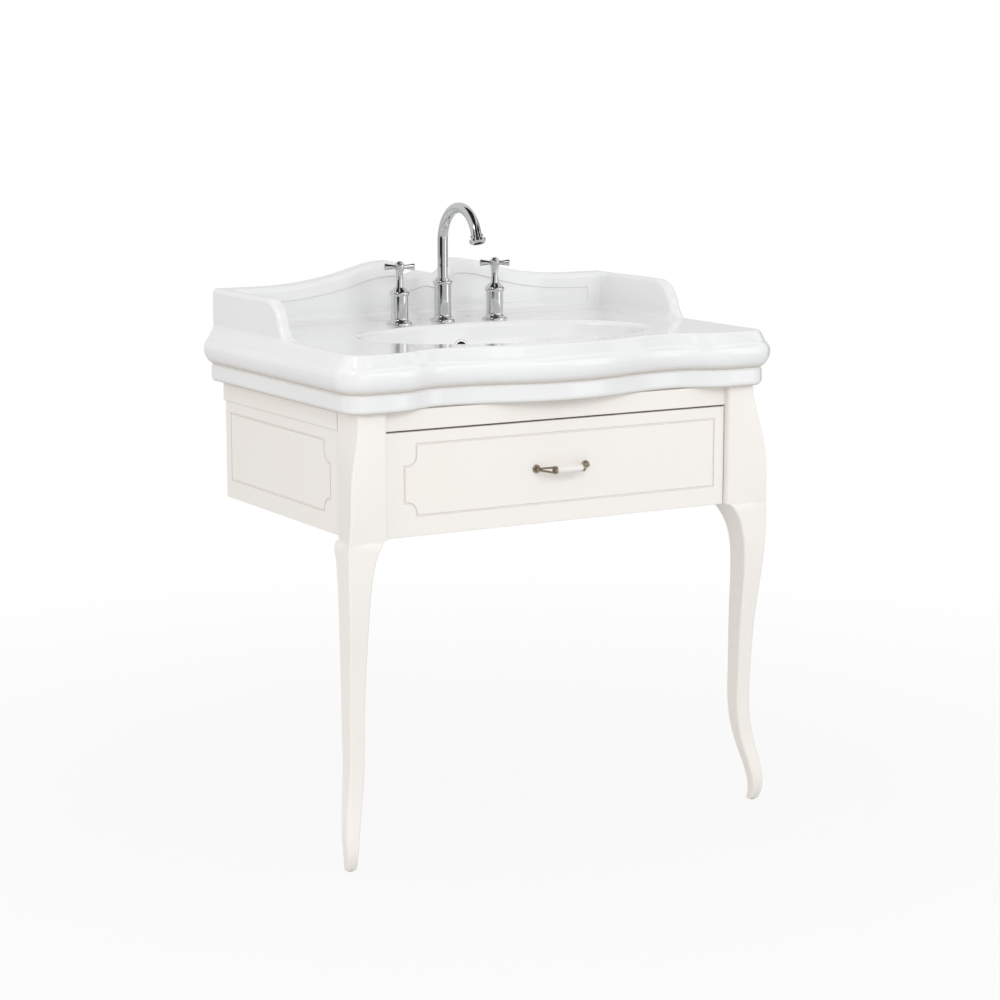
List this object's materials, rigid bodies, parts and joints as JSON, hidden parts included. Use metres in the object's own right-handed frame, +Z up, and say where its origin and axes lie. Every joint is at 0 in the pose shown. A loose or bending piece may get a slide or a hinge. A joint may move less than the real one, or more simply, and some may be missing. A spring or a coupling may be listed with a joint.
{
  "type": "console vanity unit with a drawer",
  "caption": "Traditional console vanity: serpentine ceramic basin with splashback and taps on a cream drawer cabinet with cabriole front legs, fixed to a wall at the back.",
  "frame": {"origin": "on the floor, in the middle of the width and of the depth", "axes": "+Z up, +Y from the front to the wall, +X to the right of someone who faces the front"},
  "size_m": [0.84, 0.56, 1.0572],
  "materials": {
    "white_glaze": "gloss glaze",
    "chrome": "polished",
    "plain_brass": "plain machined",
    "rubber": "matt",
    "cream_lacquer": "satin lacquer",
    "carcass_board": "satin lacquer",
    "beech": "plain",
    "drawer_board": "clear lacquer",
    "zinc_steel": "zinc plated",
    "antique_brass": "antique",
    "porcelain": "gloss glaze",
    "glide_plastic": "matt"
  },
  "bodies": {
    "cabinet": {"basin": "white_glaze", "overflow_ring": "chrome", "waste_body": "chrome", "waste_seal": "rubber", "waste_gasket": "rubber", "waste_nut": "plain_brass", "hot_valve_body": "chrome", "hot_valve_washer": "rubber", "hot_valve_nut": "plain_brass", "cold_valve_body": "chrome", "cold_valve_washer": "rubber", "cold_valve_nut": "plain_brass", "spout_pillar": "chrome", "spout_washer": "rubber", "spout_nut": "plain_brass", "right_leg": "cream_lacquer", "left_leg": "cream_lacquer", "right_side_panel": "cream_lacquer", "left_side_panel": "cream_lacquer", "right_top_moulding": "cream_lacquer", "left_top_moulding": "cream_lacquer", "front_rail": "cream_lacquer", "hanging_rail": "carcass_board", "lower_back_rail": "carcass_board", "right_runner_batten": "carcass_board", "left_runner_batten": "carcass_board", "carcass_dowels": "beech", "foot_glides": "glide_plastic", "right_runner_outer": "zinc_steel", "left_runner_outer": "zinc_steel"},
    "drawer": {"drawer_front": "cream_lacquer", "right_drawer_side": "drawer_board", "left_drawer_side": "drawer_board", "right_drawer_back": "drawer_board", "left_drawer_back": "drawer_board", "right_well_wall": "drawer_board", "left_well_wall": "drawer_board", "well_front": "drawer_board", "drawer_bottom": "drawer_board", "right_runner_inner": "zinc_steel", "left_runner_inner": "zinc_steel", "right_handle_arm": "antique_brass", "left_handle_arm": "antique_brass", "handle_grip": "porcelain", "handle_screws": "zinc_steel"},
    "right_runner": {"right_runner_middle": "zinc_steel"},
    "left_runner": {"left_runner_middle": "zinc_steel"},
    "hot_handle": {"hot_spindle": "chrome", "hot_cross": "chrome", "hot_cap": "chrome"},
    "cold_handle": {"cold_spindle": "chrome", "cold_cross": "chrome", "cold_cap": "chrome"},
    "spout": {"spout_tube": "chrome", "spout_nozzle": "chrome"},
    "plug": {"waste_plug": "chrome"}
  },
  "joints": [
    {"name": "drawer_slide", "type": "slide", "parent": "cabinet", "child": "drawer", "axis": [0, -1, 0], "range_m": [0, 0.35]},
    {"name": "right_runner_slide", "type": "slide", "parent": "cabinet", "child": "right_runner", "axis": [0, -1, 0], "range_m": [0, 0.175]},
    {"name": "left_runner_slide", "type": "slide", "parent": "cabinet", "child": "left_runner", "axis": [0, -1, 0], "range_m": [0, 0.175]},
    {"name": "hot_turn", "type": "hinge", "parent": "cabinet", "child": "hot_handle", "pos_m": [-0.097, 0.158, 0.9], "axis": [0, 0, 1], "range_deg": [0, 90]},
    {"name": "cold_turn", "type": "hinge", "parent": "cabinet", "child": "cold_handle", "pos_m": [0.097, 0.158, 0.9], "axis": [0, 0, 1], "range_deg": [-90, 0]},
    {"name": "spout_turn", "type": "hinge", "parent": "cabinet", "child": "spout", "pos_m": [0, 0.176, 0.9], "axis": [0, 0, 1], "range_deg": [-60, 60]},
    {"name": "plug_lift", "type": "slide", "parent": "cabinet", "child": "plug", "axis": [0, 0, 1], "range_m": [0, 0.008]}
  ],
  "couplings": [
    {"joint": "right_runner_slide", "follows": "drawer_slide", "ratio": 0.5},
    {"joint": "left_runner_slide", "follows": "drawer_slide", "ratio": 0.5}
  ]
}
